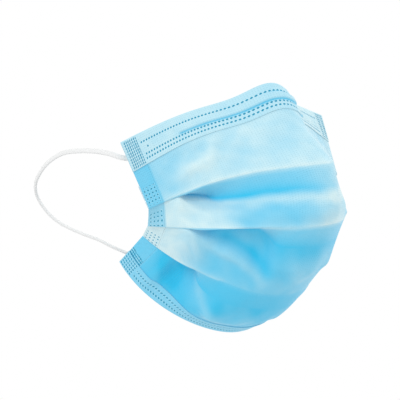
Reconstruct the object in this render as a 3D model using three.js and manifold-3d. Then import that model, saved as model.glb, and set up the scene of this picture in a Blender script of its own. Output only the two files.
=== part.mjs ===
// Surgical face mask: a pleated three-ply sheet with hems, a nose wire and two ear loops,
// in the opened form that it takes on a face.
//
// Millimetres. The origin is on the top edge, over the bridge of the nose. +X is the
// wearer's left, -Y is the front and +Z is up. The right half mirrors the left.
//
// u runs across the sheet, from -1 at the right side edge through 0 to 1 at the left one.
// The sheet is drawn down from fold to fold. A pleat turns the sheet back by PLEAT_DEPTH
// behind the panel above it, and opens from the side bands towards the middle.

import * as THREE from 'three';
import Module from 'manifold-3d';

const wasm = await Module();
wasm.setup();

const WALL = 1.0; // thickness of one layer of the sheet
const GAP = 0.3; // clearance between neighbouring solids and layers
const LAYER = WALL + GAP; // step from one layer to the next
const LEAF = WALL + 0.5; // step from the sheet to the leaf of a hem
const PLEAT_DEPTH = 12.5; // how far a pleat turns back under the panel above it
const PLEAT_ROUND = 0.7; // distance from a fold's tip to the start of its straight sides

const TOP_HEM = 15.6; // height of the folded band on the top edge
const SHEET_TUCK = 4.7; // how far the sheet reaches up into that band
const BOTTOM_HEM = 9.5; // height of the folded band on the bottom edge
const BOTTOM_TUCK = 5.5; // how far the sheet reaches down into that band
const BAND_START = 0.885; // u where the welded side bands begin
const SHEET_END = 0.88; // u where the pleated sheet ends beside them
const BAND_WALL = 2.0; // thickness of the welded side bands
const BAND_SINK = (BAND_WALL - WALL) / 2; // brings their front level with the sheet's

const WIRE_REACH = 0.6; // u where the flat nose wire ends on each side
const WIRE_WIDTH = 3.6;
const WIRE_THICKNESS = 0.8;
const WIRE_DROP = 7.7; // from the top edge to the middle of the wire
const WIRE_STEPS = 28;
const POCKET_BULGE = 0.6; // how far the band stands out over the wire
const POCKET = [0.25, 0.7]; // the part of the band's height that it lifts

const LOOP_DIAMETER = 3.0; // round elastic ear loop
const LOOP_SIDES = 8;
const LOOP_STEPS = 44;

const HALF_WIDTH = 87.5; // half the flat width of the mask, for u = 1
const SHEET_COLUMNS = 36; // steps across the sheet and its hems
const NOSE_WIDTH = 0.33; // half-width of the nose ridge, in u
const NOSE_PEAK = 4.0; // extra rise of the top edge over the nose
const NOSE_PEAK_WIDTH = 0.13; // half-width of that rise, in u
const CROWN = 0.12; // rounds each fold where it crosses the middle, in u

// Each fold of the sheet, from the top edge down. Its columns are:
// name, centreY, centreZ, sideX, sideY, sideZ, nose, fall, bulge.
// centreY, centreZ: where the fold crosses the middle of the face
// sideX, sideY, sideZ: its end on the left side edge
// nose: 0 for a round arch in plan, 1 for a narrow nose ridge with flared cheeks
// fall: how late the fold drops on its way to the side, 1 for evenly
// bulge: how far the panel below it swells out
const folds = [
  ['top_edge', 0, 0, 72, 39, -26, 1.0, 1.0, 1],
  ['ridge_1', -32.5, -36, 66, 25, -58, 0.68, 1.2, 4],
  ['ridge_2', -34.5, -66, 59, 34, -69, 0.16, 2.5, 3.5],
  ['ridge_3', -11.5, -105, 51, 47, -77, 0.05, 1.4, 3],
  ['bottom_edge', 20, -130, 53, 63, -93, 0.12, 1.4, 0],
].map(([name, centreY, centreZ, sideX, sideY, sideZ, nose, fall, bulge]) => (
  { name, centreY, centreZ, sideX, sideY, sideZ, nose, fall, bulge }
));
const LAST = folds.length - 1;

// How far each pleat is open, in degrees from folded shut (0) to flat (180), at the side
// band, a little way in from it, half-way to the middle, and in the middle.
const pleatPlaces = [0.86, 0.77, 0.5, 0];
const pleats = [
  { fold: 1, opening: [38, 100, 120, 168] },
  { fold: 2, opening: [30, 78, 105, 165] },
  { fold: 3, opening: [38, 118, 165, 179] },
];

const clamp = (x, low, high) => Math.min(high, Math.max(low, x));
const mix = (a, b, t) => a.clone().lerp(b, t);

// Linear reading of a short table whose places run from high to low.
function readTable(places, values, at) {
  for (let i = 1; i < places.length; i++) {
    if (at >= places[i]) {
      const t = clamp((at - places[i]) / (places[i - 1] - places[i]), 0, 1);
      return values[i] + (values[i - 1] - values[i]) * t;
    }
  }
  return values[values.length - 1];
}

// The point of fold k at u.
function foldAt(k, u) {
  const f = folds[k];
  const a = Math.abs(u);
  const quarter = (Math.PI / 2) * a;
  const ridge = (a * a * (1 + NOSE_WIDTH ** 2)) / (a * a + NOSE_WIDTH ** 2);
  const out = (1 - f.nose) * Math.sin(quarter) + f.nose * a;
  const back = (1 - f.nose) * (1 - Math.cos(quarter)) + f.nose * ridge;
  const drop = (Math.hypot(a, CROWN) - CROWN) / (Math.hypot(1, CROWN) - CROWN);
  let z = f.centreZ + (f.sideZ - f.centreZ) * drop ** f.fall;
  if (k === 0) z -= NOSE_PEAK * (1 - Math.exp(-((a / NOSE_PEAK_WIDTH) ** 2))) * (1 - a);
  return new THREE.Vector3(Math.sign(u) * f.sideX * out, f.centreY + (f.sideY - f.centreY) * back, z);
}

// The direction that faces out of the mask on the panel below fold k.
function outwardAt(k, u) {
  const step = 0.01;
  const middle = (v) => mix(foldAt(k, v), foldAt(k + 1, v), 0.5);
  const across = middle(Math.min(1, u + step)).sub(middle(Math.max(-1, u - step)));
  const down = foldAt(k + 1, u).sub(foldAt(k, u));
  return down.cross(across).normalize();
}

// The pleat at fold k: its direction back from the fold, its inner fold line, and how
// nearly shut it is (1 shut, 0 at right angles or wider).
function pleatAt(k, u) {
  const pleat = pleats.find((p) => p.fold === k);
  const angle = THREE.MathUtils.degToRad(readTable(pleatPlaces, pleat.opening, Math.abs(u)));
  const up = foldAt(k - 1, u).sub(foldAt(k, u)).normalize();
  const out = outwardAt(k, u);
  const shut = clamp(Math.cos(angle), 0, 1);
  const back = up.multiplyScalar(Math.cos(angle)).addScaledVector(out, -Math.sin(angle)).normalize();
  const ridge = foldAt(k, u).addScaledVector(out, -LAYER * shut);
  const valley = ridge.clone().addScaledVector(back, PLEAT_DEPTH);
  const start = valley.clone().addScaledVector(out, -LAYER * shut);
  return { back, ridge, valley, start };
}

// The top of the panel below fold k, and a point on that panel, s from 0 down to 1.
function panelStart(k, u) {
  return k === 0 ? foldAt(0, u) : pleatAt(k, u).start;
}
function panelPoint(k, s, u) {
  const point = mix(panelStart(k, u), foldAt(k + 1, u), s);
  return point.addScaledVector(outwardAt(k, u), folds[k].bulge * Math.sin(Math.PI * s));
}
function panelLength(k, u) {
  return panelStart(k, u).distanceTo(foldAt(k + 1, u));
}

// The whole sheet at u, as points from inside the top band down to inside the bottom band.
function sheetLine(u) {
  const line = [];
  const panelSteps = [6, 4, 4, 6];
  for (let k = 0; k < LAST; k++) {
    const long = panelLength(k, u);
    const first = k === 0 ? (TOP_HEM - SHEET_TUCK) / long : PLEAT_ROUND / long;
    const last = k === LAST - 1 ? 1 - (BOTTOM_HEM - BOTTOM_TUCK) / long : 1 - PLEAT_ROUND / long;
    for (let i = 0; i <= panelSteps[k]; i++) {
      line.push(panelPoint(k, first + ((last - first) * i) / panelSteps[k], u));
    }
    if (k === LAST - 1) break;
    const pleat = pleatAt(k + 1, u);
    line.push(mix(foldAt(k + 1, u), pleat.ridge, 0.5));
    line.push(pleat.ridge.clone().addScaledVector(pleat.back, PLEAT_ROUND));
    line.push(pleat.ridge.clone().addScaledVector(pleat.back, PLEAT_DEPTH / 2));
    line.push(pleat.valley.clone().addScaledVector(pleat.back, -PLEAT_ROUND));
    line.push(mix(pleat.valley, pleat.start, 0.5));
  }
  return line;
}

// A folded band over an edge. edgePoint(d, u) is the sheet's surface at distance d from
// the edge, and bulge(d) lifts the outer leaf.
function foldedBandLine(u, height, edgePoint, outward, bulge) {
  const leaf = [1, 0.72, 0.5, 0.28, 0.06]; // places down to the edge, as parts of the height
  const out = outward(u);
  const at = (d, depth) => edgePoint(d, u).addScaledVector(out, depth);
  return [
    ...leaf.map((t) => at(t * height, LEAF + bulge(t))),
    at(0, 0),
    ...leaf.slice().reverse().filter((t) => t !== 0.28).map((t) => at(t * height, -LEAF)),
  ];
}

// The welded side band at u: it follows the folds from the top band to the bottom one,
// and passes its own ends by grow.
function sideBandLine(u, grow) {
  const line = [];
  const panelSteps = [5, 2, 2, 3];
  for (let k = 0; k < LAST; k++) {
    const long = foldAt(k, u).distanceTo(foldAt(k + 1, u));
    const first = k === 0 ? (TOP_HEM + GAP - grow) / long : 0;
    const last = k === LAST - 1 ? 1 - (BOTTOM_HEM + GAP - grow) / long : 1;
    for (let i = k === 0 ? 0 : 1; i <= panelSteps[k]; i++) {
      const point = mix(foldAt(k, u), foldAt(k + 1, u), first + ((last - first) * i) / panelSteps[k]);
      line.push(point.addScaledVector(outwardAt(k, u), -BAND_SINK));
    }
  }
  return line;
}

// A closed wall of even thickness about a grid of points, grid[column][row].
// Columns run towards +X and rows run down, so the front face looks out of the mask.
function wallSolid(grid, thickness) {
  const columns = grid.length;
  const rows = grid[0].length;
  const normals = grid.map((line, c) => line.map((point, r) => {
    const across = grid[Math.min(columns - 1, c + 1)][r].clone().sub(grid[Math.max(0, c - 1)][r]);
    const before = point.clone().sub(line[Math.max(0, r - 1)]).normalize();
    const after = line[Math.min(rows - 1, r + 1)].clone().sub(point).normalize();
    return before.cross(across).normalize().add(after.cross(across).normalize()).normalize();
  }));
  const positions = [];
  for (const side of [0.5, -0.5]) {
    for (let c = 0; c < columns; c++) {
      for (let r = 0; r < rows; r++) {
        positions.push(...grid[c][r].clone().addScaledVector(normals[c][r], side * thickness).toArray());
      }
    }
  }
  const index = [];
  const inner = columns * rows;
  const at = (c, r) => c * rows + r;
  const quad = (a, b, c, d) => index.push(a, b, c, a, c, d);
  for (let c = 0; c + 1 < columns; c++) {
    for (let r = 0; r + 1 < rows; r++) {
      const corners = [at(c, r), at(c, r + 1), at(c + 1, r + 1), at(c + 1, r)];
      quad(...corners);
      quad(...corners.reverse().map((i) => i + inner));
    }
  }
  const rim = [];
  for (let r = 0; r < rows; r++) rim.push(at(0, r));
  for (let c = 1; c < columns; c++) rim.push(at(c, rows - 1));
  for (let r = rows - 2; r >= 0; r--) rim.push(at(columns - 1, r));
  for (let c = columns - 2; c > 0; c--) rim.push(at(c, 0));
  rim.forEach((a, i) => {
    const b = rim[(i + 1) % rim.length];
    quad(a, a + inner, b + inner, b);
  });
  const geometry = new THREE.BufferGeometry();
  geometry.setAttribute('position', new THREE.Float32BufferAttribute(positions, 3));
  geometry.setIndex(index);
  return geometry;
}

// Evenly spaced values of u from low to high, and a grid of lines drawn at them.
function gridOf(line, low, high, steps) {
  const grid = [];
  for (let i = 0; i <= steps; i++) grid.push(line(low + ((high - low) * i) / steps));
  return grid;
}

// The first solid without the others.
function cutAway(geometry, cutters) {
  const solid = (g) => new wasm.Manifold(new wasm.Mesh({
    numProp: 3,
    vertProperties: new Float32Array(g.attributes.position.array),
    triVerts: new Uint32Array(g.index.array),
  }));
  const mesh = cutters.reduce((rest, cutter) => rest.subtract(solid(cutter)), solid(geometry)).getMesh();
  const result = new THREE.BufferGeometry();
  result.setAttribute('position', new THREE.Float32BufferAttribute(mesh.vertProperties, 3));
  result.setIndex(Array.from(mesh.triVerts));
  return result;
}

// The pleated sheet. The folds twist near the side bands, so it is trimmed clear of them.
function sheetSolid() {
  const sheet = wallSolid(gridOf(sheetLine, -SHEET_END, SHEET_END, SHEET_COLUMNS), WALL);
  return cutAway(sheet, [1, -1].map((side) => sideBandSolid(side, 2 * GAP)));
}

const topPoint = (d, u) => panelPoint(0, d / panelLength(0, u), u);
const bottomPoint = (d, u) => panelPoint(LAST - 1, 1 - d / panelLength(LAST - 1, u), u);

function topHemSolid() {
  const bulge = (t) => (t > POCKET[0] && t < POCKET[1] ? POCKET_BULGE : 0);
  const line = (u) => foldedBandLine(u, TOP_HEM, topPoint, (v) => outwardAt(0, v), bulge);
  return wallSolid(gridOf(line, -1, 1, SHEET_COLUMNS), WALL);
}

function bottomHemSolid() {
  const line = (u) => foldedBandLine(u, BOTTOM_HEM, bottomPoint, (v) => outwardAt(LAST - 1, v), () => 0);
  return wallSolid(gridOf((u) => line(u).reverse(), -1, 1, SHEET_COLUMNS), WALL);
}

// The side band on one side, or its space when it is grown by some clearance all round.
function sideBandSolid(side, grow = 0) {
  const inner = side * (BAND_START - grow / HALF_WIDTH);
  const outer = side * (1 + grow / HALF_WIDTH);
  const grid = gridOf((u) => sideBandLine(u, grow), Math.min(inner, outer), Math.max(inner, outer), 2);
  return wallSolid(grid, BAND_WALL + 2 * grow);
}

// The nose wire lies between the leaves of the top band, bent over the nose.
function noseWireSolid() {
  const halfWidth = WIRE_WIDTH / 2;
  const line = (u) => [WIRE_DROP - halfWidth, WIRE_DROP + halfWidth].map((d) => topPoint(d, u));
  return wallSolid(gridOf(line, -WIRE_REACH, WIRE_REACH, WIRE_STEPS), WIRE_THICKNESS);
}

// The right ear loop's route, from behind the top corner round the ear to the bottom one.
const loopRoute = [
  [-63.5, 37, -33.5], [-67.5, 38.5, -34.2], [-71, 41, -34], [-73.5, 46, -32.8], [-75, 55, -32.2],
  [-76.5, 65, -32.6], [-77.8, 77, -35], [-79, 88, -41], [-79, 96, -48.5], [-76.5, 102.5, -55.5],
  [-73, 105, -63], [-69.5, 101.5, -70.5], [-66, 94.5, -76], [-62.5, 83, -79.5], [-59, 73, -82],
  [-55, 66.5, -84.5], [-50.5, 62.5, -86.3], [-47.5, 58, -88], [-46, 53.5, -90.2], [-45, 49.5, -92],
];

function earLoopSolid(side) {
  const points = loopRoute.map(([x, y, z]) => new THREE.Vector3(-side * x, y, z));
  const path = new THREE.CatmullRomCurve3(points, false, 'centripetal');
  const section = new THREE.Shape();
  for (let i = 0; i < LOOP_SIDES; i++) {
    const angle = (i / LOOP_SIDES) * 2 * Math.PI;
    const x = (LOOP_DIAMETER / 2) * Math.cos(angle);
    const y = (LOOP_DIAMETER / 2) * Math.sin(angle);
    if (i === 0) section.moveTo(x, y);
    else section.lineTo(x, y);
  }
  section.closePath();
  return new THREE.ExtrudeGeometry(section, { steps: LOOP_STEPS, extrudePath: path, curveSegments: 1 });
}

const finishes = {
  outer: { color: 0xa9dcee, roughness: 0.85, metalness: 0 },
  hem: { color: 0xa0d8ea, roughness: 0.8, metalness: 0 },
  wire: { color: 0xe8ecee, roughness: 0.5, metalness: 0 },
  elastic: { color: 0xebeeee, roughness: 0.9, metalness: 0 },
};

const mask = new THREE.Group();
function addPiece(name, geometry, finish) {
  const piece = new THREE.Mesh(geometry, new THREE.MeshStandardMaterial(finishes[finish]));
  piece.name = name;
  mask.add(piece);
}

addPiece('mask_body', sheetSolid(), 'outer');
addPiece('top_hem', topHemSolid(), 'hem');
addPiece('nose_wire', noseWireSolid(), 'wire');
addPiece('bottom_hem', bottomHemSolid(), 'hem');
addPiece('side_band_left', sideBandSolid(1), 'hem');
addPiece('side_band_right', sideBandSolid(-1), 'hem');
addPiece('ear_loop_left', earLoopSolid(1), 'elastic');
addPiece('ear_loop_right', earLoopSolid(-1), 'elastic');

export default mask;
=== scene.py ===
"""A pleated surgical face mask in the form that it takes when worn.

The cloth is drawn from fold to fold in flat-cloth places: u runs across the mask, from -1 at
the right side edge to 1 at the left one, and each panel runs down from its own start to the
fold below it. Everything is in metres: +X is the wearer's left, -Y the front and +Z up.
"""

import math

import bpy
import numpy as np
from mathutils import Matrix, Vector


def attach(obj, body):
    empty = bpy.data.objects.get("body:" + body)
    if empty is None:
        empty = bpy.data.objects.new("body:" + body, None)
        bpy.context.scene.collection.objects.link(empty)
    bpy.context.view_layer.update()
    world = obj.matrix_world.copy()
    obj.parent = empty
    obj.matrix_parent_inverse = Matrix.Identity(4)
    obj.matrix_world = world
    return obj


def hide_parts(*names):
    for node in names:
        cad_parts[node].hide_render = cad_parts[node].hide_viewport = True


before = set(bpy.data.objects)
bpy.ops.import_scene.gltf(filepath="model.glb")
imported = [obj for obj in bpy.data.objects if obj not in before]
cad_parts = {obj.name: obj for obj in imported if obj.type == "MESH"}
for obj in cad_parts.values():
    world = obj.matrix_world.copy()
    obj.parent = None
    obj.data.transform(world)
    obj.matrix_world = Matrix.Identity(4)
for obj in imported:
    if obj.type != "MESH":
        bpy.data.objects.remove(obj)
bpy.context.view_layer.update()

# ---- the cloth and its folds

HALF_WIDTH = 0.0875  # half the flat width of the mask, for u = 1
SHEET = 0.0005  # thickness of the three plies together
LAYER = 0.00066  # step from one layer of a shut pleat to the next
PLEAT_DEPTH = 0.0125  # how far a pleat turns back under the panel above it
PLEAT_ROUND = 0.0006  # distance from a fold's tip to its straight sides
NOSE_WIDTH = 0.33  # half-width of the nose ridge, in u
NOSE_PEAK = 0.0062  # extra rise of the top edge over the nose
NOSE_PEAK_WIDTH = 0.13  # half-width of that rise, in u
NOSE_PEAK_PLACE = -0.10  # its middle, in u
NOSE_HOLLOWS = ((0.20, 0.0050), (-0.14, 0.0016))  # where the top panel sinks beside the nose
NOSE_HOLLOW_WIDTH = 0.15  # half-width of each, in u
CROWN = 0.12  # rounds each fold where it crosses the middle, in u

TOP_HEM = 0.0156  # height of the folded band on the top edge
SHEET_TUCK = 0.0047  # how far the sheet reaches up into that band
BOTTOM_HEM = 0.0095  # height of the folded band on the bottom edge
BOTTOM_TUCK = 0.0055  # how far the sheet reaches down into that band
HEM_WALL = 0.00035  # thickness of one leaf of a hem
LEAF = 0.00056  # from the middle of the sheet to the middle of a hem's leaf
BAND_START = 0.885  # u where the welded side bands begin
SIDE_EDGE = 0.9999  # u of the mask's side edges

WIRE_REACH = 0.6  # u where the flat nose wire ends on each side
WIRE_WIDTH = 0.0036
WIRE_THICKNESS = 0.0006
WIRE_DROP = 0.0077  # from the top edge to the middle of the wire
POCKET_BULGE = 0.0009  # how far the band stands out over the wire

# Each fold from the top edge down: where it crosses the middle of the face (y, z), its end on
# the side edge (x, y, z), nose (0 a round arch in plan, 1 a narrow nose ridge with flared
# cheeks), fall (how late it drops on its way to the side), bulge (how far the panel below it
# swells out) and flare (how much further out the left end stands than the right one).
FOLD_COLUMNS = (
    "middle_y", "middle_z", "side_x", "side_y", "side_z", "nose", "fall", "bulge", "flare",
)
FOLDS = {
    "top_edge": (0, 0.0018, 0.072, 0.039, -0.026, 1.0, 1.0, 0.001, 0.0012),
    "ridge_1": (-0.0325, -0.036, 0.066, 0.025, -0.058, 0.68, 1.2, 0.004, 0.0060),
    "ridge_2": (-0.0345, -0.066, 0.059, 0.034, -0.069, 0.16, 2.5, 0.0028, 0.003),
    "ridge_3": (-0.0098, -0.105, 0.051, 0.047, -0.077, 0.05, 1.4, 0.0015, 0),
    "bottom_edge": (0.0256, -0.1320, 0.053, 0.063, -0.093, 0.12, 1.4, 0, 0),
}
FOLDS = [dict(zip(FOLD_COLUMNS, row)) for row in FOLDS.values()]
LAST = len(FOLDS) - 1

SWELL_FADE = (0.8, 0.8, 0.8, 1.5)  # how much flatter each panel's swell is towards its end

# How far each pleat is open, in degrees from folded shut (0) to flat (180), at places in u.
PLEAT_PLACES = (0, 0.16, 0.30, 0.44, 0.60, 0.73, 0.84, 1)
PLEATS = {
    1: (157, 153, 140, 130, 108, 66, 8, 3),
    2: (162, 148, 132, 118, 88, 48, 7, 3),
    3: (180, 178, 176, 174, 138, 80, 12, 3),
}

# Soft wrinkles in the panels: the panel's number, the middle (u, s), its turn in degrees from
# level, its half-length, half-width and height.
WRINKLE_COLUMNS = ("panel", "u", "s", "turn", "long", "wide", "height")
WRINKLES = {
    "cheek_top": (0, -0.62, 0.72, -12, 0.016, 0.0040, 0.0014),
    "cheek_dip": (0, -0.42, 0.62, 20, 0.018, 0.0050, -0.0014),
    "nose_side": (0, -0.27, 0.62, 108, 0.013, 0.0045, 0.0011),
    "cheek_facet": (0, -0.47, 0.55, 112, 0.012, 0.0036, 0.0012),
    "cheek_facet_low": (0, -0.60, 0.74, 172, 0.014, 0.0026, 0.0011),
    "panel_1_fan": (1, -0.45, 0.50, 160, 0.014, 0.0026, 0.0008),
    "panel_1_roll": (1, -0.70, 0.55, -8, 0.012, 0.0030, 0.0009),
    "panel_1_front": (1, -0.46, 0.42, 168, 0.012, 0.0032, 0.0009),
    "panel_1_far": (1, 0.24, 0.20, 0, 0.020, 0.0060, 0.0010),
    "mouth_roll": (2, -0.46, 0.55, 22, 0.018, 0.0032, 0.0026),
    "mouth_crease": (2, -0.47, 0.36, 20, 0.016, 0.0028, -0.0012),
    "mouth_dip": (2, -0.34, 0.42, 16, 0.016, 0.0040, -0.0008),
    "mouth_front": (2, -0.10, 0.40, 70, 0.011, 0.0040, 0.0010),
    "chin_roll": (3, -0.46, 0.30, 36, 0.019, 0.0028, 0.0022),
    "chin_hollow": (3, -0.76, 0.42, 30, 0.012, 0.0060, -0.0026),
    "chin_front": (3, -0.22, 0.45, 80, 0.012, 0.0035, 0.0011),
    "left_cheek": (0, 0.62, 0.70, 10, 0.016, 0.0045, 0.0012),
    "left_mouth": (2, 0.60, 0.58, -22, 0.018, 0.0035, 0.0014),
    "left_chin": (3, 0.58, 0.42, -44, 0.015, 0.0035, 0.0014),
}
WRINKLES = [dict(zip(WRINKLE_COLUMNS, row)) for row in WRINKLES.values()]

# Faint ripples all over the cloth: the height, how fast each turns across (for each u) and
# down (for each metre), and how much the panel's number and a slow drift shift it.
RIPPLES = (
    (0.0003, 9, 210, 2.1, 0),
    (0.0002, 21, -330, 1, 0),
    (0.00022, 34, 260, 0, 1),
    (0.00014, 47, -520, 0, -1.3),
)


def unit(v):
    return v / np.linalg.norm(v, axis=-1, keepdims=True)


def mix(a, b, t):
    return a + (b - a) * t


def smooth_step(low, high, x):
    t = np.clip((x - low) / (high - low), 0, 1)
    return t * t * (3 - 2 * t)


def smooth_table(places, values, at, blur=0.02):
    """A table read with its corners rounded off."""
    taps = np.linspace(-2, 2, 9)
    weights = np.exp(-(taps**2) / 2)
    reads = [w * np.interp(np.abs(at + blur * t), places, values) for t, w in zip(taps, weights)]
    return sum(reads) / weights.sum()


def fold_at(k, u):
    """The points of fold k at each u."""
    f = FOLDS[k]
    a = np.abs(u)
    ridge = a * a * (1 + NOSE_WIDTH**2) / (a * a + NOSE_WIDTH**2)
    out = mix(np.sin(np.pi / 2 * a), a, f["nose"])
    back = mix(1 - np.cos(np.pi / 2 * a), ridge, f["nose"])
    drop = (np.hypot(a, CROWN) - CROWN) / (np.hypot(1, CROWN) - CROWN)
    z = f["middle_z"] + (f["side_z"] - f["middle_z"]) * drop ** f["fall"]
    if k == 0:
        rise = np.exp(-(((u - NOSE_PEAK_PLACE) / NOSE_PEAK_WIDTH) ** 2))
        z = z - NOSE_PEAK * (1 - rise) * (1 - a)
    y = f["middle_y"] + (f["side_y"] - f["middle_y"]) * back
    x = np.sign(u) * f["side_x"] * out + f["flare"] * smooth_step(0.45, 1, u)
    return np.stack([x, y, z], -1)


def outward_at(k, u):
    """The direction out of the mask on the panel below fold k."""
    step = 0.01
    low, high = np.maximum(u - step, -1), np.minimum(u + step, 1)
    across = fold_at(k, high) + fold_at(k + 1, high) - fold_at(k, low) - fold_at(k + 1, low)
    return unit(np.cross(fold_at(k + 1, u) - fold_at(k, u), across))


def panels_at(u):
    """The panels at each u, from the top one down, each with the pleat above it.

    A panel runs from its start, behind the panel above, past its knee to its end. Where the
    pleat is shut the knee lies just behind the fold, and where it is let out it is in line.
    """
    panels = []
    for k in range(LAST):
        fold, out = fold_at(k, u), outward_at(k, u)
        panel = {"number": k, "u": u, "out": out, "end": fold_at(k + 1, u), "start": fold}
        panel["knee"], panel["bend"] = fold, np.zeros((len(u), 1))
        panel["long"] = np.linalg.norm(fold - panel["end"], axis=-1, keepdims=True)
        if k > 0:
            angle = np.radians(smooth_table(PLEAT_PLACES, PLEATS[k], u))[:, None]
            shut = 1 - smooth_step(60, 110, np.degrees(angle))
            above = unit(mix(out, panels[-1]["out"], shut))
            up = unit(panels[-1]["knee"] - fold)
            back = unit(up * np.cos(angle) - above * np.sin(angle))
            inset = unit(above * np.cos(angle) + up * np.sin(angle)) * LAYER * shut
            panel["back"] = back
            panel["valley_soft"] = smooth_step(95, 150, np.degrees(angle))
            panel["ridge_soft"] = smooth_step(160, 178, np.degrees(angle))
            panel["ridge"] = fold - inset
            panel["valley"] = fold - inset + back * PLEAT_DEPTH
            panel["start"] = start = fold - 2 * inset + back * PLEAT_DEPTH
            tucked = fold - 2.2 * inset
            upper = np.linalg.norm(start - tucked, axis=-1, keepdims=True)
            lower = np.linalg.norm(tucked - panel["end"], axis=-1, keepdims=True)
            panel["bend"] = upper / (upper + lower)
            straight = mix(start, panel["end"], panel["bend"])
            panel["knee"] = mix(straight, tucked, 1 - smooth_step(35, 98, np.degrees(angle)))
            panel["long"] = np.linalg.norm(start - panel["knee"], axis=-1, keepdims=True)
            panel["long"] += np.linalg.norm(panel["knee"] - panel["end"], axis=-1, keepdims=True)
        panels.append(panel)
    return panels


def wrinkle_height(panel, s):
    """How far the wrinkles lift a panel, s of the way down it."""
    u, down, number = panel["u"], (s * panel["long"])[:, 0], panel["number"]
    drift = 2.2 * np.sin(u * 5 + down * 90 + number * 1.7)
    height = np.zeros(len(u))
    for size, across, along, by_number, by_drift in RIPPLES:
        turn = u * across + down * along + number * by_number + drift * by_drift
        height = height + size * np.sin(turn)
    for w in WRINKLES:
        if w["panel"] == number:
            turn = math.radians(w["turn"])
            x, y = (u - w["u"]) * HALF_WIDTH, down - w["s"] * panel["long"][:, 0]
            along = (x * math.cos(turn) + y * math.sin(turn)) / w["long"]
            beside = (y * math.cos(turn) - x * math.sin(turn)) / w["wide"]
            height = height + w["height"] * np.exp(-(along**2) - beside**2)
    return (height * (1 - smooth_step(0.80, 0.9, np.abs(u))))[:, None]


def panel_point(panel, s, wrinkled=0.0):
    """Points on a panel; s runs down from 0 to 1, one value or one for each u."""
    swell = FOLDS[panel["number"]]["bulge"] * (1 - smooth_step(0.6, 0.88, np.abs(panel["u"])))
    lift = swell[:, None] * np.sin(np.pi * s) * (1 - s**3 * SWELL_FADE[panel["number"]])
    if panel["number"] == 0:
        for place, depth in NOSE_HOLLOWS:
            middle = np.exp(-(((panel["u"] - place) / NOSE_HOLLOW_WIDTH) ** 2))
            lift = lift - depth * middle[:, None] * np.sin(np.pi * s) ** 2
    if np.any(wrinkled):
        lift = lift + wrinkle_height(panel, s) * wrinkled * np.sin(np.pi * s) ** 0.5
    bend = panel["bend"]
    upper = mix(panel["start"], panel["knee"], s / np.maximum(bend, 0.001))
    lower = mix(panel["knee"], panel["end"], (s - bend) / (1 - bend))
    return np.where(s < bend, upper, lower) + panel["out"] * lift


# ---- meshes of cloth

def wall_normals(grid):
    """The direction out at each point of a grid whose rows run across and columns run down."""
    across = np.gradient(grid, axis=0)
    step = unit(np.diff(grid, axis=1))
    before = np.concatenate([step[:, :1], step], axis=1)
    after = np.concatenate([step, step[:, -1:]], axis=1)
    return unit(unit(np.cross(before, across)) + unit(np.cross(after, across)))


def flat_places(grid, u):
    """Where each point of a grid lies on the flat cloth: across from the middle, and down."""
    steps = np.linalg.norm(np.diff(grid, axis=1), axis=-1)
    down = np.concatenate([np.zeros((len(grid), 1)), np.cumsum(steps, axis=1)], axis=1)
    return np.broadcast_to((u * HALF_WIDTH)[:, None], down.shape), down


def add_mesh(name, points, faces, places, materials, inner_faces=0, **layers):
    """A smooth mesh of four-sided faces, the first inner_faces of which take the second
    material, with its flat places and, for each layer, one number at each point."""
    mesh = bpy.data.meshes.new(name)
    mesh.vertices.add(len(points))
    mesh.vertices.foreach_set("co", points.astype(np.float32).ravel())
    mesh.loops.add(faces.size)
    mesh.loops.foreach_set("vertex_index", faces.astype(np.int32).ravel())
    mesh.polygons.add(len(faces))
    mesh.polygons.foreach_set("loop_start", np.arange(0, faces.size, 4, dtype=np.int32))
    mesh.update(calc_edges=True)
    mesh.polygons.foreach_set("use_smooth", np.ones(len(faces), bool))
    for material in materials:
        mesh.materials.append(material)
    side = (np.arange(len(faces)) < inner_faces).astype(np.int32)
    mesh.polygons.foreach_set("material_index", side)
    flat = places[faces.ravel()].astype(np.float32)
    mesh.uv_layers.new(name="flat").data.foreach_set("uv", flat.ravel())
    for layer, values in layers.items():
        attribute = mesh.attributes.new(layer, "FLOAT", "POINT")
        attribute.data.foreach_set("value", values.astype(np.float32))
    piece = bpy.data.objects.new(name, mesh)
    bpy.context.scene.collection.objects.link(piece)
    return piece


def cloth_wall(name, grid, thickness, places, materials, **layers):
    """A closed wall about a grid of points. A second material goes on its inner face."""
    columns, rows = grid.shape[:2]
    half = wall_normals(grid) * thickness / 2
    points = np.concatenate([(grid + half).reshape(-1, 3), (grid - half).reshape(-1, 3)])
    number = np.arange(columns * rows).reshape(columns, rows)
    corners = [number[:-1, :-1], number[:-1, 1:], number[1:, 1:], number[1:, :-1]]
    front = np.stack([c.ravel() for c in corners], -1)
    rim = np.concatenate([number[0], number[1:, -1], number[-1, -2::-1], number[-2:0:-1, 0]])
    ahead, inner = np.roll(rim, -1), columns * rows
    edge = np.stack([rim, rim + inner, ahead + inner, ahead], -1)
    faces = np.concatenate([front[:, ::-1] + inner, front, edge])
    both = np.stack([np.tile(np.ravel(p), 2) for p in places], -1)
    inner_faces = len(front) if len(materials) > 1 else 0
    spread = {key: np.tile(np.ravel(values), 2) for key, values in layers.items()}
    return add_mesh(name, points, faces, both, materials, inner_faces, **spread)


def turn_points(start, corner, end, steps=5):
    """Points round a soft turn of the cloth, between but not on its two ends."""
    places = [(i + 1) / (steps + 1) for i in range(steps)]
    return [mix(mix(start, corner, t), mix(corner, end, t), t) for t in places]


PANEL_ROWS = (42, 22, 30, 32)
PLEAT_ROWS = 5
TURN_ROWS = 3
RELAXING = 90  # rounds of smoothing that soften a fold where its pleat is let out

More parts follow.
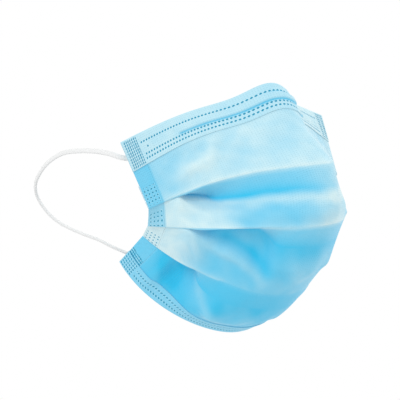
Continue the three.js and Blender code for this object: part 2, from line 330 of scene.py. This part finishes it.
# How deep a painted shade each panel shows, deep blue standing for shade in folds and recesses
# and pale blue for painted light: at its top under the pleat, over the rest of it, and how far
# down it the first fades into the second.
PANEL_SHADES = ((0.24, 0.24, 0.010), (0.95, 0.26, 0.005), (0.96, 0.80, 0.012), (0.94, 0.86, 0.020))
SIDE_SHADES = (0.30, -0.25, -0.72, 0.0)  # painted shade each panel gains towards the side bands, a painted highlight below 0
BAND_SHADES = (0.74, 0.56, 0.0, 0.78)  # the painted shade of each panel's end in the side bands
LEFT_SHARE = 0.3  # the share of both painted shades on the left half, which more light reaches
END_SHADES = (0.0, 0.50, 0.0, 0.0)  # the painted shade each panel gains in front, below its top
FRONT_HIGHLIGHT = (0.0, 0.60, 0.10, 0.0)  # painted highlight: the painted shade each panel loses at the very front
FRONT_PLACE, FRONT_WIDTH = 0.05, 0.16  # where that painted highlight is, and how wide, in u
LIP_HIGHLIGHT = 0.40  # painted highlight: how much paler each panel is at the very end of it
LIP_REACH = 0.002  # how far up from the end that reaches
RIDGE_HIGHLIGHT = 110.0  # painted highlight and shade: how much paler a wrinkle is per metre of its height


def pleated_lines(u, panels, rows):
    """The pleated sheet as one line down each u, and a mark for each of its rows: the panel's
    number, the place s down it or None in a pleat, and how far round the pleat it is."""
    lines, marks = [], []
    for k, panel in enumerate(panels):
        long = panel["long"]
        first = (TOP_HEM - SHEET_TUCK if k == 0 else PLEAT_ROUND) / long
        last = 1 - (BOTTOM_HEM - BOTTOM_TUCK if k == LAST - 1 else PLEAT_ROUND) / long
        for t in np.linspace(0, 1, rows[k]):
            s = mix(first, last, t)
            clear = smooth_step(TOP_HEM, TOP_HEM + 0.006, s * long) if k == 0 else 1.0
            if k == LAST - 1:
                clear = smooth_step(BOTTOM_HEM, BOTTOM_HEM + 0.006, (1 - s) * long)
            lines.append(panel_point(panel, s, clear))
            marks.append((k, s, 0.0))
        if k < LAST - 1:
            below = panels[k + 1]
            depths = np.linspace(PLEAT_ROUND, PLEAT_DEPTH - PLEAT_ROUND, PLEAT_ROWS)
            tuck = [below["ridge"] + below["back"] * d for d in depths]
            entry = panel_point(below, PLEAT_ROUND / below["long"])
            round_ridge = mix(panel["end"], below["ridge"], 0.5)
            round_valley = mix(below["valley"], below["start"], 0.5)
            turned = turn_points(lines[-1], round_ridge, tuck[0], TURN_ROWS) + tuck
            turned += turn_points(tuck[-1], round_valley, entry, TURN_ROWS)
            lines += turned
            marks += [(k, None, (i + 1) / len(turned)) for i in range(len(turned))]
    return np.stack(lines, 1), marks


def shades_at(u, panels, marks):
    """The painted shade at each point of the pleated sheet, from 0 (pale, painted light) to 1
    (deep blue, painted shade).
    """
    share = np.where(u < 0, 1, LEFT_SHARE)
    front = np.exp(-(((u - FRONT_PLACE) / FRONT_WIDTH) ** 2))
    ahead = 1 - smooth_step(0.42, 0.60, np.abs(u))
    near_band = smooth_step(0.868, BAND_START, np.abs(u))
    shades = []
    # Deep blue paints shade under each pleat and round into its recess; paler blue paints light
    # lower on each panel, at the front, on wrinkles and fold lips, and on the left half.
    for k, s, turned in marks:
        top, rest, fade = PANEL_SHADES[k]
        if s is None:
            # painted shade deepening round the pleat into its recess, less at the front
            deep = PANEL_SHADES[k + 1][0] * (1 - FRONT_HIGHLIGHT[k + 1] * front)
            shade = mix(mix(rest, deep, min(1, turned * 4) * 0.62), deep, turned**2)
        else:
            down, left = (s * panels[k]["long"])[:, 0], ((1 - s) * panels[k]["long"])[:, 0]
            # painted shade under the pleat above, fading down the panel, less in the front's
            # painted highlight
            shade = mix(top, rest, smooth_step(0, 1, down / fade)) - FRONT_HIGHLIGHT[k] * front
            shade = shade + SIDE_SHADES[k] * smooth_step(0.54, 0.84, np.abs(u)) * share
            shade = shade + END_SHADES[k] * ahead * smooth_step(0.08, 0.5, s[:, 0])
            # painted highlight on raised wrinkles, painted shade in sunken ones
            shade = shade - wrinkle_height(panels[k], s)[:, 0] * RIDGE_HIGHLIGHT
            # painted highlight along the lip at the end of each panel
            lip = 1 - panels[k + 1]["ridge_soft"][:, 0] if k + 1 < LAST else 1
            shade = shade - LIP_HIGHLIGHT * lip * np.exp(-left / LIP_REACH)
        shades.append(mix(np.clip(shade, 0, 1), BAND_SHADES[k] * share, near_band))
    return np.stack(shades, 1)


def relaxed(grid, panels, marks):
    """The sheet with its folds softened where their pleats are let out."""
    softness = []
    for k, s, turned in marks:
        if s is None:
            below = panels[k + 1]
            soft = mix(below["ridge_soft"], below["valley_soft"], turned)
        else:
            top = panels[k].get("valley_soft", 0.0)
            end = panels[k + 1]["ridge_soft"] if k + 1 < LAST else 0.0
            near_top = 1 - smooth_step(0.003, 0.014, s * panels[k]["long"])
            near_end = 1 - smooth_step(0.003, 0.014, (1 - s) * panels[k]["long"])
            soft = np.maximum(top * near_top, end * near_end)
        softness.append(soft[:, 0])
    amount = np.stack(softness, 1)[:, 1:-1, None] * 0.9
    grid = grid.copy()
    for _ in range(RELAXING):
        middle = (grid[:, :-2] + grid[:, 2:]) / 2
        grid[:, 1:-1] += (middle - grid[:, 1:-1]) * amount
    return grid


def pleated_sheet(materials):
    """The whole sheet between the side bands."""
    u = np.linspace(-BAND_START, BAND_START, 276)
    panels = panels_at(u)
    grid, marks = pleated_lines(u, panels, PANEL_ROWS)
    grid = relaxed(grid, panels, marks)
    shade = shades_at(u, panels, marks)
    none = np.zeros(shade.shape)
    places = flat_places(grid, u)
    return cloth_wall(
        "pleated_sheet", grid, SHEET, places, materials, weld=none, rim=none, shade=shade)


# ---- welds

def dashes(across, down, row, pitch, long, wide, turn, shift=0.0):
    """How far each place lies within a row of short welds: 1 inside and 0 outside."""
    x = np.mod(across - shift + pitch / 2, pitch) - pitch / 2
    y = down - row
    angle = math.radians(turn)
    along = np.abs(x * math.cos(angle) - y * math.sin(angle))
    beside = y * math.cos(angle) + x * math.sin(angle)
    gap = np.hypot(np.maximum(along - (long - wide) / 2, 0), beside)
    return 1 - smooth_step(wide * 0.3, wide * 0.85, gap)


def rim_of(weld):
    """The raised rim round each weld."""
    return 4 * weld * (1 - weld)


DOT_PITCH = 0.0018  # from one weld to the next along a hem
DOT_LENGTH, DOT_WIDTH = 0.0012, 0.00085  # the size of a weld on the top hem
STITCH_LENGTH, STITCH_WIDTH = 0.0013, 0.0008  # and of one on the bottom hem
ROWS_END = (0.0762, 0.0768)  # where the rows of welds end, across from the middle
SINGLE_DOT = (0.0727, 0.0078)  # a weld of its own near each end of the top hem, across and down


def top_hem_welds(across, down):
    """Three rows of slanted welds, with a hatched block at each end."""
    rows = [
        dashes(across, down, row, DOT_PITCH, DOT_LENGTH, DOT_WIDTH, 30, shift)
        for row, shift in ((0.0047, 0), (0.0109, 0.0003), (0.0131, 0.0013))
    ]
    hatch = [
        dashes(across, down, row, 0.0013, 0.0013, 0.00065, 60)
        for row in np.arange(0.0014, 0.0150, 0.00145)
    ]
    inside = 1 - smooth_step(*ROWS_END, np.abs(across))
    block = smooth_step(0.0775, 0.0779, np.abs(across))
    block = block * (1 - smooth_step(0.0866, 0.087, np.abs(across)))
    weld = np.maximum(np.max(rows, axis=0) * inside, np.max(hatch, axis=0) * block)
    single = np.hypot(np.abs(across) - SINGLE_DOT[0], down - SINGLE_DOT[1])
    return np.maximum(weld, 1 - smooth_step(0.0004, 0.0008, single))


def bottom_hem_welds(across, down):
    """Two rows of welds that lean towards each other, with a hatched block at each end."""
    rows = [
        dashes(across, down, row, DOT_PITCH, STITCH_LENGTH, STITCH_WIDTH, turn, shift)
        for row, turn, shift in ((0.0030, 38, 0), (0.0063, -38, 0.0009))
    ]
    hatch = [
        dashes(across, down, row, 0.0016, 0.0013, 0.0008, 20)
        for row in np.arange(0.0014, 0.0090, 0.0017)
    ]
    inside = 1 - smooth_step(*ROWS_END, np.abs(across))
    block = smooth_step(0.0773, 0.0779, np.abs(across))
    return np.maximum(np.max(rows, axis=0) * inside, np.max(hatch, axis=0) * block)


def hem_point(panel, d, depth, from_end):
    """A point d from the panel's outer edge and depth out from its middle."""
    s = d / panel["long"]
    return panel_point(panel, 1 - s if from_end else s) + panel["out"] * depth


HEM_ROUND = 0.0009  # how far from its edge a hem starts to turn over
WELD_DENT = 0.00022  # how deep a weld is pressed into a hem
WELD_RIM = 0.00010  # and how high its rim stands
HEM_PUFF = 0.00008  # how far the cloth stands up between the welds


def hem_grid(u, panel, height, front_rows, back_rows, lift, welds, from_end):
    """A band folded over an edge, from its front leaf's lower line over the edge to its back
    leaf: its points, its welds and the painted shade of each."""
    across = u * HALF_WIDTH
    lines, weld_rows, shade_rows = [], [], []
    for d in np.linspace(height, HEM_ROUND, front_rows):
        pressed = welds(across, np.full(len(u), d))
        bulge, shade = lift(u, d)
        puff = HEM_PUFF * np.cos(across / DOT_PITCH * 2 * np.pi) * math.sin(math.pi * d / height)
        rise = LEAF + bulge + puff - WELD_DENT * pressed + WELD_RIM * rim_of(pressed)
        lines.append(hem_point(panel, d, rise[:, None], from_end))
        weld_rows.append(pressed)
        shade_rows.append(shade)
    for angle in np.linspace(0, math.pi, 7)[1:-1]:
        d = HEM_ROUND - LEAF * math.sin(angle) * 1.5
        lines.append(hem_point(panel, d, LEAF * math.cos(angle), from_end))
    for d in np.linspace(HEM_ROUND, height, back_rows):
        lines.append(hem_point(panel, d, -LEAF, from_end))
    plain = len(lines) - front_rows
    weld_rows += [np.zeros(len(u))] * plain
    shade_rows += [shade_rows[-1]] * plain
    return np.stack(lines, 1), np.stack(weld_rows, 1), np.stack(shade_rows, 1)


def top_lift(u, d):
    """How far the nose wire lifts the top band d below its edge, and the painted shade there:
    deeper in the crease under the wire, and in the one over it near the nose."""
    over = 1 - smooth_step(WIRE_REACH - 0.01, WIRE_REACH + 0.02, np.abs(u))
    shape = smooth_step(0.0052, 0.0064, d) * (1 - smooth_step(0.0088, 0.0100, d))
    lower = math.exp(-(((d - 0.0098) / 0.0006) ** 2))
    upper = math.exp(-(((d - 0.0054) / 0.0005) ** 2))
    near_nose = 1 - smooth_step(0.06, 0.14, np.abs(u))
    # painted shade of the rest of the band: deepest at the nose, paler towards both ends, most on
    # the left
    plain = 0.28 - 0.08 * smooth_step(0.12, 0.5, -u) - 0.20 * smooth_step(0.2, 0.5, u)
    return POCKET_BULGE * over * shape, plain + 0.60 * over * lower + 0.5 * near_nose * upper


def bottom_lift(u, d):
    """The bottom band has no wire, and one painted shade all along it."""
    return np.zeros(len(u)), np.full(len(u), 0.66)


# The welded blocks on the side bands: the panel's number, how far above the panel's lower
# fold the block begins and ends, and the pitch of its columns and of its rows.
BLOCK_COLUMNS = ("panel", "begin", "end", "across", "down")
BLOCKS = {
    "upper": (0, 0.0010, 0.0104, 0.0023, 0.0019),
    "middle": (1, 0.0010, 0.0116, 0.0023, 0.0027),
    "lower": (2, 0.0008, 0.0113, 0.0023, 0.0027),
    "corner": (3, 0.0072, 0.0130, 0.0014, 0.0015),
}
BLOCKS = [dict(zip(BLOCK_COLUMNS, row)) for row in BLOCKS.values()]


BAND_ROWS = (74, 40, 40, 66)
BAND_COLUMNS = 30
BAND_DENT, BAND_RIM = 0.0002, 0.00012  # how deep a weld is pressed into a band, and its rim


def band_welds(u, panels, marks):
    """The welds at each point of a side band."""
    across = np.abs(u) * HALF_WIDTH
    rows = []
    for k, s, _ in marks:
        weld = np.zeros(len(u))
        for block in BLOCKS:
            if s is not None and block["panel"] == k:
                above = ((1 - s) * panels[k]["long"])[:, 0]
                inside = (above > block["begin"]) & (above < block["end"])
                row = np.mod(above, block["down"])
                shift = BAND_START * HALF_WIDTH + block["across"] * 0.6
                dots = dashes(
                    across, row, block["down"] / 2, block["across"], 0.0012, 0.0008, 12, shift)
                weld = np.maximum(weld, dots * inside)
        rows.append(weld)
    return np.stack(rows, 1)


def side_strip(side, materials):
    """One welded side band: the end of the pleated stack, pressed together and dented."""
    u = np.linspace(*sorted((side * BAND_START, side * SIDE_EDGE)), BAND_COLUMNS)
    panels = panels_at(u)
    grid, marks = pleated_lines(u, panels, BAND_ROWS)
    weld = band_welds(u, panels, marks)
    grid = grid + wall_normals(grid) * (BAND_RIM * rim_of(weld) - BAND_DENT * weld)[..., None]
    name = "side_strip_left" if side > 0 else "side_strip_right"
    shade = shades_at(u, panels, marks)
    places = flat_places(grid, u)
    return cloth_wall(
        name, grid, SHEET, places, materials, weld=weld, rim=rim_of(weld), shade=shade)


# ---- shader nodes as expressions

class Reading:
    """One number or colour of a material's nodes. Arithmetic on it adds Math nodes."""

    def __init__(self, finish, socket):
        self.finish, self.socket = finish, socket

    def math(self, operation, *values):
        return self.finish.node("Math", {"operation": operation}, values)

    def __add__(self, other):
        return self.math("ADD", self, other)

    def __sub__(self, other):
        return self.math("SUBTRACT", self, other)

    def __mul__(self, other):
        return self.math("MULTIPLY", self, other)

    def __rsub__(self, other):
        return self.math("SUBTRACT", other, self)

    __radd__ = __add__
    __rmul__ = __mul__

    def sine(self):
        return self.math("SINE", self)

    def between(self, low, high):
        """0 below low, 1 above high and smooth between."""
        settings = {"interpolation_type": "SMOOTHSTEP"}
        return self.finish.node("MapRange", settings, (self, low, high, 0.0, 1.0))


class Finish:
    """A material built node by node, that ends in one Principled shader."""

    def __init__(self, name):
        self.material = bpy.data.materials.new(name)
        self.material.use_nodes = True
        self.nodes = self.material.node_tree.nodes
        self.links = self.material.node_tree.links
        self.nodes.clear()

    def node(self, kind, settings=None, values=(), output=0):
        """A node of one kind: its settings first and then its inputs, by order or by name."""
        node = self.nodes.new("ShaderNode" + kind)
        for key, value in (settings or {}).items():
            setattr(node, key, value)
        pairs = values.items() if isinstance(values, dict) else enumerate(values)
        for key, value in pairs:
            if isinstance(value, Reading):
                self.links.new(value.socket, node.inputs[key])
            else:
                node.inputs[key].default_value = value
        return Reading(self, node.outputs[output])

    def flat_place(self):
        """The place on the flat cloth in millimetres."""
        place = self.node("UVMap", {"uv_map": "flat"})
        return self.node("VectorMath", {"operation": "SCALE"}, {"Vector": place, "Scale": 1000.0})

    def layer(self, name):
        return self.node("Attribute", {"attribute_name": name}, output="Fac")

    def noise(self, place, scale, detail, stretch=(1, 1, 1)):
        place = self.node("VectorMath", {"operation": "MULTIPLY"}, (place, stretch))
        return self.node("TexNoise", {}, {"Vector": place, "Scale": scale, "Detail": detail})

    def blend(self, amount, a, b):
        """A colour between two colours."""
        return self.node("Mix", {"data_type": "RGBA"}, {0: amount, 6: a, 7: b}, output=2)

    def bump(self, height, distance, strength):
        values = {"Height": height, "Distance": distance, "Strength": strength}
        return self.node("Bump", {}, values)

    def close(self, values):
        shader = self.node("BsdfPrincipled", {}, values)
        output = self.nodes.new("ShaderNodeOutputMaterial")
        self.links.new(shader.socket, output.inputs["Surface"])
        return self.material


THROUGH_GLOW = 0.32  # painted glow, an even emission for light that comes through the thin outer cloth
THROUGH_GLOW_INNER = 0.14  # the same painted glow for the inner cloth, behind the filter


def nonwoven(name, pale, deep, weld_colour, rim_highlight_colour, sheen=0.35, through=THROUGH_GLOW):
    """Spunbonded cloth: a lattice of pressed bond points among loose fibres, in pale to deep blue
    by its painted shade, with painted highlights on the weld rims and an even painted glow.
    """
    finish = Finish(name)
    place = finish.flat_place()
    across = finish.node("SeparateXYZ", {}, (place,))
    down = finish.node("SeparateXYZ", {}, (place,), output=1)
    lattice = 2 * math.pi / 2.2  # bond points on a diagonal lattice, in millimetres
    bonds = ((across + down) * lattice).sine() * ((across - down) * lattice).sine()
    bond = bonds.between(0.3, 0.9)
    fibres = finish.noise(place, 2.6, 4.0, (1.0, 0.35, 1.0))
    clouds = finish.noise(place, 0.16, 3.0)
    weld = finish.layer("weld")
    # painted shade: the shade layer runs from pale blue for painted light to deep blue for shade
    cloth = finish.blend(finish.layer("shade"), pale, deep)
    cloudy = finish.blend(clouds.between(0.35, 0.7) * 0.12, cloth, deep)
    pressed = finish.blend(bond * 0.08, cloudy, deep)
    # painted highlight on the raised rims round the welds
    rimmed = finish.blend(finish.layer("rim") * 0.5, pressed, rim_highlight_colour)
    colour = finish.blend(weld.between(0.25, 0.7), rimmed, weld_colour)
    return finish.close({
        "Base Color": colour,
        # painted glow: the cloth gives off its own colour, standing for light that comes through
        # it
        "Emission Color": colour,
        "Emission Strength": through,
        "Roughness": 0.88 - weld * 0.3 - bond * 0.08,
        "Normal": finish.bump(fibres * 0.6 - bond * 0.7, 0.0002, 0.8),
        "Sheen Weight": sheen,
        "Sheen Roughness": 0.45,
        "Specular IOR Level": 0.25,
    })


def knitted_elastic(name):
    """Soft knitted elastic: fine ribs along it, crossed by stitches."""
    finish = Finish(name)
    place = finish.flat_place()
    around = finish.node("SeparateXYZ", {}, (place,))
    along = finish.node("SeparateXYZ", {}, (place,), output=1)
    ribs = (around * (2 * math.pi / 0.6)).sine()
    stitches = (along * (2 * math.pi / 0.9) + around * 2.0).sine()
    knit = (ribs * stitches).between(-0.8, 0.9)
    colour = finish.blend(knit, (0.60, 0.61, 0.61, 1), (0.72, 0.725, 0.725, 1))
    return finish.close({
        "Base Color": colour,
        # painted glow: the elastic gives off its own colour, standing for light through it
        "Emission Color": colour,
        "Emission Strength": THROUGH_GLOW_INNER,
        "Roughness": 0.8 + knit * 0.1,
        "Normal": finish.bump(knit, 0.00012, 0.6),
        "Sheen Weight": 0.4,
        "Sheen Roughness": 0.4,
    })


def coated_wire(name):
    """The plastic coating of the nose wire, with faint drawing lines."""
    finish = Finish(name)
    lines = finish.noise(finish.flat_place(), 2.0, 2.0, (0.1, 2.0, 1.0))
    return finish.close({
        "Base Color": finish.blend(lines, (0.74, 0.77, 0.78, 1), (0.86, 0.88, 0.89, 1)),
        "Roughness": 0.4 + lines * 0.2,
        "Normal": finish.bump(lines, 0.00005, 0.4),
    })


# ---- camera and cords

def make_camera():
    """The camera looks at the mask's right front, from a little above."""
    azimuth, elevation, distance = math.radians(-43.4), math.radians(11.0), 0.70
    aim = Vector((-0.0556, 0, -0.0512))
    back = Vector((
        math.sin(azimuth) * math.cos(elevation),
        -math.cos(azimuth) * math.cos(elevation),
        math.sin(elevation),
    ))
    data = bpy.data.cameras.new("camera")
    data.lens, data.sensor_width = 131.5, 36
    camera = bpy.data.objects.new("camera", data)
    camera.location = aim + back * distance
    camera.rotation_euler = (math.pi / 2 - elevation, 0, azimuth)
    bpy.context.scene.collection.objects.link(camera)
    bpy.context.scene.camera = camera


LOOP_WIDTH = 0.0025  # the elastic is a little flat, and this wide
LOOP_THICKNESS = 0.0016
LOOP_SIDES = 28
LOOP_STEPS = 20
WELD_LENGTH = 0.005  # how much of each end is pressed flat
RIB_COUNT, RIB_HEIGHT, RIB_PITCH = 7, 0.00007, 0.0016  # the ribs of the knit wind round it
# The right ear loop's route, from behind the top corner round the ear to the bottom one.
LOOP_ROUTE = (
    (-0.0635, 0.037, -0.0335), (-0.0675, 0.0385, -0.0342), (-0.071, 0.041, -0.0335),
    (-0.0735, 0.046, -0.0321), (-0.075, 0.055, -0.0318), (-0.0765, 0.065, -0.0326),
    (-0.0778, 0.077, -0.035), (-0.079, 0.088, -0.041), (-0.079, 0.096, -0.0485),
    (-0.0765, 0.1025, -0.0555), (-0.073, 0.105, -0.063), (-0.0695, 0.1015, -0.0705),
    (-0.066, 0.0945, -0.076), (-0.0625, 0.083, -0.0795), (-0.059, 0.073, -0.082),
    (-0.055, 0.0665, -0.0853), (-0.0505, 0.0625, -0.0880), (-0.0475, 0.058, -0.0900),
    (-0.046, 0.0535, -0.0915), (-0.045, 0.0495, -0.0925),
)


def smooth_route(points, steps):
    """Points along the smooth curve through a route."""
    p = np.array(points)
    p = np.concatenate([[2 * p[0] - p[1]], p, [2 * p[-1] - p[-2]]])
    line = []
    for a, b, c, d in zip(p, p[1:], p[2:], p[3:]):
        for t in np.arange(steps) / steps:
            bend = (2 * a - 5 * b + 4 * c - d) * t**2 + (3 * b - 3 * c + d - a) * t**3
            line.append((2 * b + (c - a) * t + bend) / 2)
    return np.array(line + [p[-2]])


def ear_loop(side, material):
    """A soft elastic loop, round in the middle and pressed flat where it is welded on."""
    line = smooth_route(LOOP_ROUTE, LOOP_STEPS) * (-side, 1, 1)
    tangents = unit(np.gradient(line, axis=0))
    normals = [unit(np.cross(tangents[0], (0.0, 0.3, 1.0)))]
    for tangent in tangents[1:]:
        normals.append(unit(normals[-1] - tangent * np.dot(normals[-1], tangent)))
    normals = np.array(normals)
    others = np.cross(tangents, normals)
    along = np.concatenate([[0], np.cumsum(np.linalg.norm(np.diff(line, axis=0), axis=1))])
    from_end = np.minimum(along, along[-1] - along)
    flat = 1 - smooth_step(0, WELD_LENGTH, from_end)
    angle = np.linspace(0, 2 * np.pi, LOOP_SIDES + 1)
    rib = RIB_HEIGHT * np.cos(RIB_COUNT * angle[None] + along[:, None] / RIB_PITCH * 2 * np.pi)
    wide = LOOP_WIDTH / 2 * (1 + 0.25 * flat[:, None]) + rib
    thick = LOOP_THICKNESS / 2 * (1 - 0.5 * flat[:, None]) + rib
    ring = others[:, None] * (wide * np.cos(angle))[..., None]
    ring = line[:, None] + ring + normals[:, None] * (thick * np.sin(angle))[..., None]
    count = LOOP_SIDES
    points = np.concatenate([ring[:, :count].reshape(-1, 3), line[[0, -1]]])
    number = np.arange(len(line) * count).reshape(len(line), count)
    ahead = np.roll(number, -1, axis=1)
    corners = (number[:-1], ahead[:-1], ahead[1:], number[1:])
    faces = np.stack([c.ravel() for c in corners], -1)
    caps = []
    for i in range(0, count, 2):
        j, l = (i + 1) % count, (i + 2) % count
        caps.append((len(points) - 2, number[0, l], number[0, j], number[0, i]))
        caps.append((len(points) - 1, number[-1, i], number[-1, j], number[-1, l]))
    faces = np.concatenate([faces, np.array(caps)])
    reach = np.broadcast_to(along[:, None], number.shape)
    girth = np.broadcast_to(angle[:count] * LOOP_WIDTH / 2, number.shape)
    places = np.stack([girth.ravel(), reach.ravel()], -1)
    places = np.concatenate([places, [(0, 0), (0, along[-1])]])
    name = "elastic_left" if side > 0 else "elastic_right"
    loop = add_mesh(name, points, faces, places, [material])
    return loop, line, float(along[-1])


# ---- the mask

# The colours as red, green, blue and alpha.
# BLUE_PALE and BLUE_DEEP are the ends of the painted shade, painted light and painted shade; the
# deep blue also tints the cloth's mottling and bond points.
BLUE_PALE = (0.44, 0.575, 0.60, 1)
BLUE_DEEP = (0.020, 0.365, 0.575, 1)
TEAL_WELD = (0.01, 0.22, 0.35, 1)
# painted highlight on the weld rims
PALE_RIM_HIGHLIGHT = (0.50, 0.68, 0.72, 1)
# the inner cloth's painted light and painted shade; the second also colours its welds
WHITE_INNER = (0.76, 0.79, 0.80, 1)
WHITE_SHADE_AND_WELD = (0.66, 0.72, 0.75, 1)


def place_piece(piece, nodes):
    """Puts a piece on the mask's one body, in place of its CAD nodes."""
    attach(piece, "root")
    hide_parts(*nodes)


def make_mask():
    outer = nonwoven("pale blue outer cloth", BLUE_PALE, BLUE_DEEP, TEAL_WELD, PALE_RIM_HIGHLIGHT)
    inner = nonwoven("white inner cloth", WHITE_INNER, WHITE_SHADE_AND_WELD, WHITE_SHADE_AND_WELD, WHITE_INNER,
                     through=THROUGH_GLOW_INNER)
    hem = nonwoven("pale blue hem cloth", BLUE_PALE, BLUE_DEEP, TEAL_WELD, PALE_RIM_HIGHLIGHT, 0.3)
    elastic = knitted_elastic("white knitted elastic")

    for side, node in ((-1, "ear_loop_right"), (1, "ear_loop_left")):
        loop, line, length = ear_loop(side, elastic)
        place_piece(loop, [node])

    sheet = pleated_sheet([outer, inner])
    place_piece(sheet, ["mask_body"])

    u = np.linspace(-SIDE_EDGE, SIDE_EDGE, 640)
    panels = panels_at(u)
    for name, node, panel, height, rows, lift, welds, from_end in (
        ("nose_band", "top_hem", panels[0], TOP_HEM, (46, 12), top_lift, top_hem_welds, False),
        ("chin_hem", "bottom_hem", panels[-1], BOTTOM_HEM, (22, 8), bottom_lift,
         bottom_hem_welds, True),
    ):
        grid, weld, shade = hem_grid(u, panel, height, *rows, lift, welds, from_end)
        if not from_end:
            grid, weld, shade = grid[:, ::-1], weld[:, ::-1], shade[:, ::-1]
        piece = cloth_wall(name, grid, HEM_WALL, flat_places(grid, u), [hem],
                           weld=weld, rim=rim_of(weld), shade=shade)
        place_piece(piece, [node])

    for side, node in ((-1, "side_band_right"), (1, "side_band_left")):
        strip = side_strip(side, [hem, inner])
        place_piece(strip, [node])

    u = np.linspace(-WIRE_REACH, WIRE_REACH, 120)
    wire_panel = panels_at(u)[0]
    edges = np.linspace(WIRE_DROP - WIRE_WIDTH / 2, WIRE_DROP + WIRE_WIDTH / 2, 7)
    rise = np.full((len(u), 1), 0.0002)
    grid = np.stack([hem_point(wire_panel, d, rise, False) for d in edges], 1)
    wire = cloth_wall("bent_wire", grid, WIRE_THICKNESS, flat_places(grid, u),
                      [coated_wire("coated nose wire")])
    place_piece(wire, ["nose_wire"])


# ---- light

def make_light():
    """Even white light from all round, with a soft key from the upper left."""
    world = bpy.data.worlds.new("white surround")
    world.use_nodes = True
    background = world.node_tree.nodes["Background"]
    background.inputs["Color"].default_value = (1, 1, 1, 1)
    background.inputs["Strength"].default_value = 1.0
    bpy.context.scene.world = world
    for name, strength, spread, towards in (
        ("key", 0.95, 25, (-1.2, -0.25, 0.95)),
        ("fill", 0.80, 40, (0.9, -0.25, 0.55)),
    ):
        data = bpy.data.lights.new(name, "SUN")
        data.energy, data.angle = strength, math.radians(spread)
        light = bpy.data.objects.new(name, data)
        light.rotation_euler = Vector(towards).to_track_quat("Z", "Y").to_euler()
        bpy.context.scene.collection.objects.link(light)
    bpy.context.scene.view_settings.view_transform = "Standard"


make_camera()
make_mask()
make_light()
